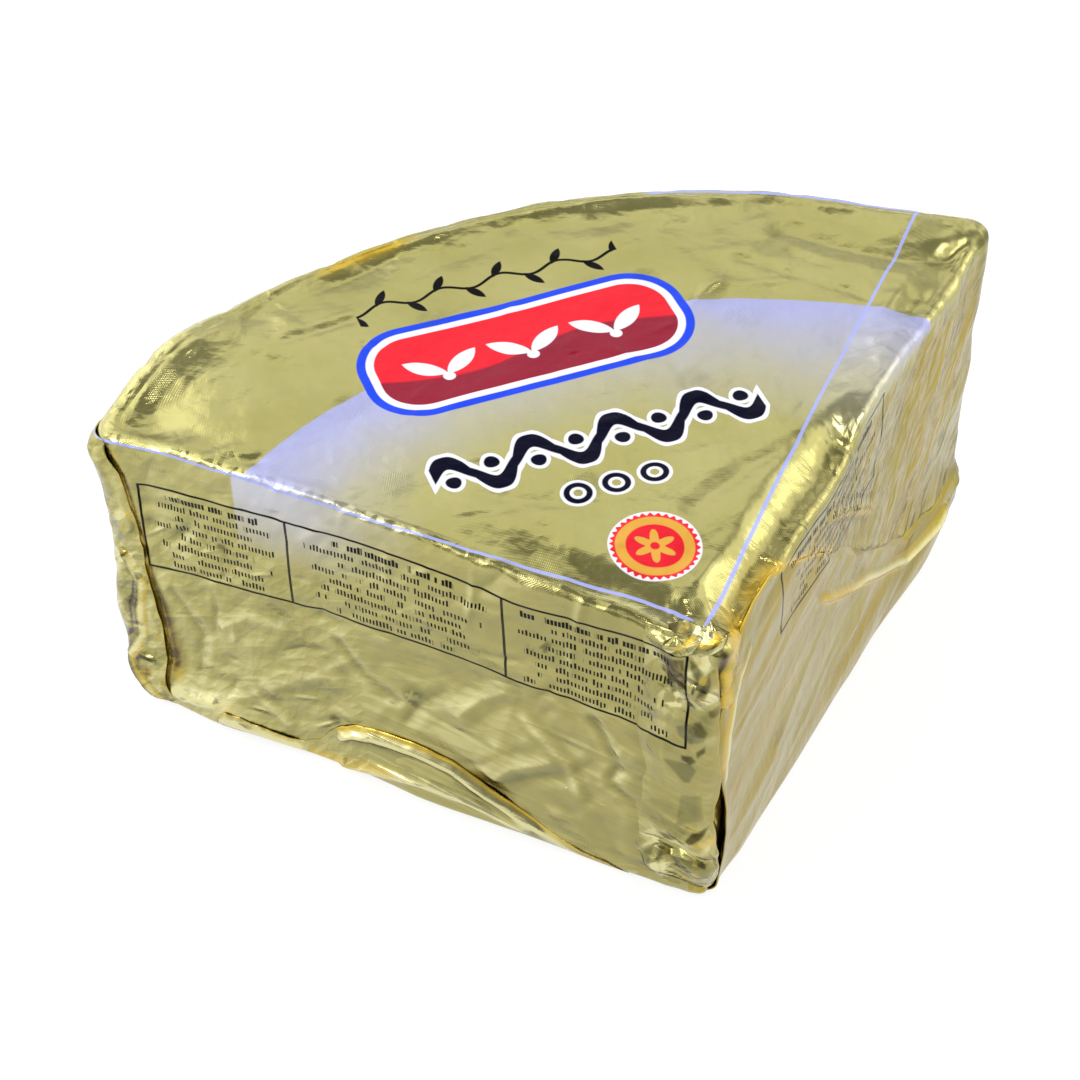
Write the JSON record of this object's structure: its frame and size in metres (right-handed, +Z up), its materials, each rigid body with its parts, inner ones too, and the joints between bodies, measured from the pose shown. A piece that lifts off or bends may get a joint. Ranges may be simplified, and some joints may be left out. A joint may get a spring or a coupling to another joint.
{
  "type": "foil-wrapped cheese wedge",
  "caption": "Shut gold-foil pack of soft blue cheese: a quarter-sector wedge, an eighth of a wheel, with folded ends, lying on its flat base.",
  "frame": {"origin": "on the ground, in the middle of the wedge's footprint box", "axes": "+Z up; the point of the wedge looks towards -Y and the curved rind towards +Y; +X to the right seen from the point"},
  "size_m": [0.2087, 0.1474, 0.0868],
  "materials": {
    "gold_foil": "satin gold-lacquered aluminium foil, lightly crumpled and finely embossed, with a printed label design"
  },
  "bodies": {
    "root": {"foil_wrapped_wedge": "gold_foil"}
  },
  "joints": []
}
